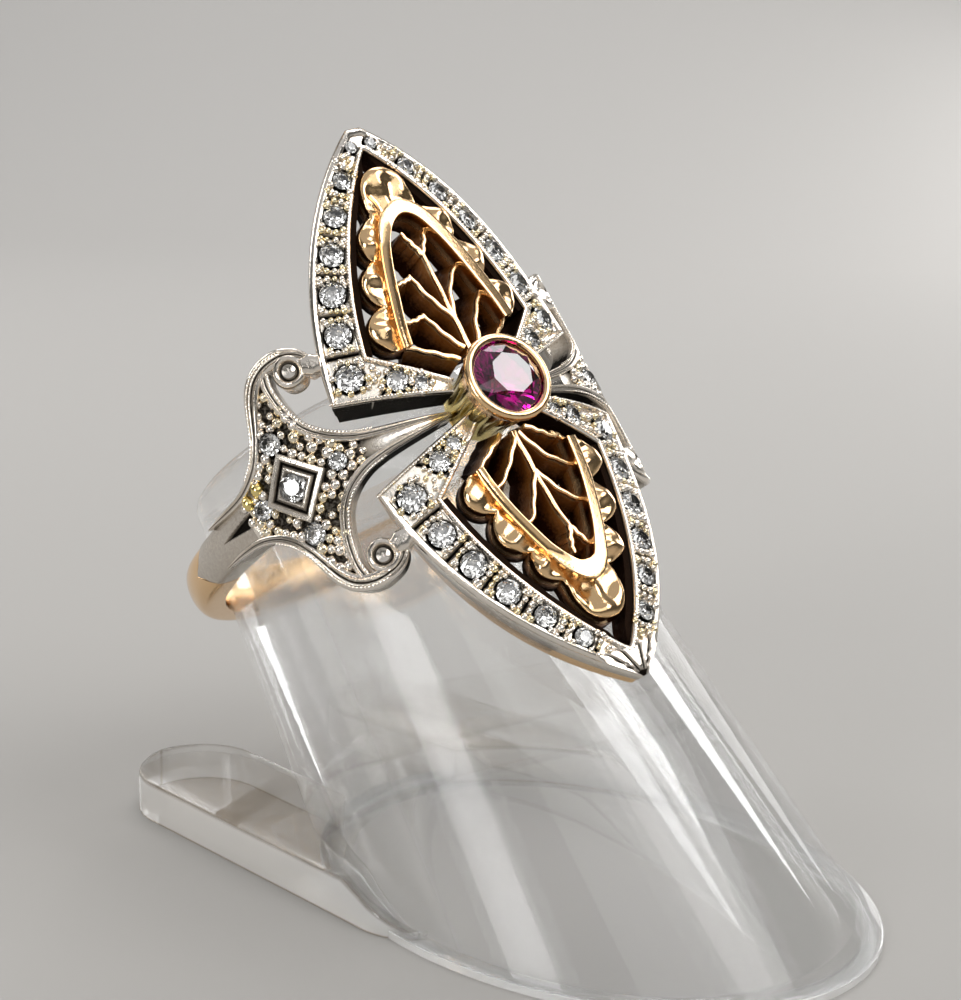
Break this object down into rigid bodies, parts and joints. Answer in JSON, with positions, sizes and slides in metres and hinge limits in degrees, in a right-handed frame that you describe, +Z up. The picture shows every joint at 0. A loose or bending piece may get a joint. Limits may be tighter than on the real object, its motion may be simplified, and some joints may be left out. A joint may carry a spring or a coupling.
{
  "type": "ruby and diamond ring on a clear leaning ring stand",
  "caption": "Antique two-colour gold ring: a long pointed head with diamond borders, gold leaf tracery and a ruby, on a clear ring stand.",
  "frame": {"origin": "under the middle of the object's box, on the table", "axes": "+Z up; the stand's mirror plane is y = 0 and its tube leans towards -X, so the ring's head faces +X and up"},
  "size_m": [0.0371, 0.0223, 0.0341],
  "materials": {
    "clear_acrylic": "polished, transparent",
    "yellow_gold": "polished, worn",
    "white_metal": "polished edges with oxidised recesses",
    "ruby": "polished facets",
    "diamond": "polished facets"
  },
  "bodies": {
    "root": {"ring_stand": "clear_acrylic", "shank": "yellow_gold", "mount": "white_metal", "ruby_collet": "yellow_gold", "ruby": "ruby", "leaf_upper": "yellow_gold", "leaf_lower": "yellow_gold", "diamond_upper_left_side_1": "diamond", "diamond_upper_left_side_2": "diamond", "diamond_upper_left_side_3": "diamond", "diamond_upper_left_side_4": "diamond", "diamond_upper_left_side_5": "diamond", "diamond_upper_left_corner": "diamond", "diamond_upper_left_arm": "diamond", "diamond_upper_left_near": "diamond", "diamond_upper_right_side_1": "diamond", "diamond_upper_right_side_2": "diamond", "diamond_upper_right_side_3": "diamond", "diamond_upper_right_side_4": "diamond", "diamond_upper_right_side_5": "diamond", "diamond_upper_right_corner": "diamond", "diamond_upper_right_arm": "diamond", "diamond_upper_right_near": "diamond", "diamond_lower_left_side_1": "diamond", "diamond_lower_left_side_2": "diamond", "diamond_lower_left_side_3": "diamond", "diamond_lower_left_side_4": "diamond", "diamond_lower_left_side_5": "diamond", "diamond_lower_left_corner": "diamond", "diamond_lower_left_arm": "diamond", "diamond_lower_left_near": "diamond", "diamond_lower_right_side_1": "diamond", "diamond_lower_right_side_2": "diamond", "diamond_lower_right_side_3": "diamond", "diamond_lower_right_side_4": "diamond", "diamond_lower_right_side_5": "diamond", "diamond_lower_right_corner": "diamond", "diamond_lower_right_arm": "diamond", "diamond_lower_right_near": "diamond", "diamond_tip_left": "diamond", "diamond_tip_right": "diamond", "square_diamond_left": "diamond", "square_diamond_right": "diamond", "shoulder_diamonds_left": "diamond", "shoulder_diamonds_right": "diamond"}
  },
  "joints": []
}
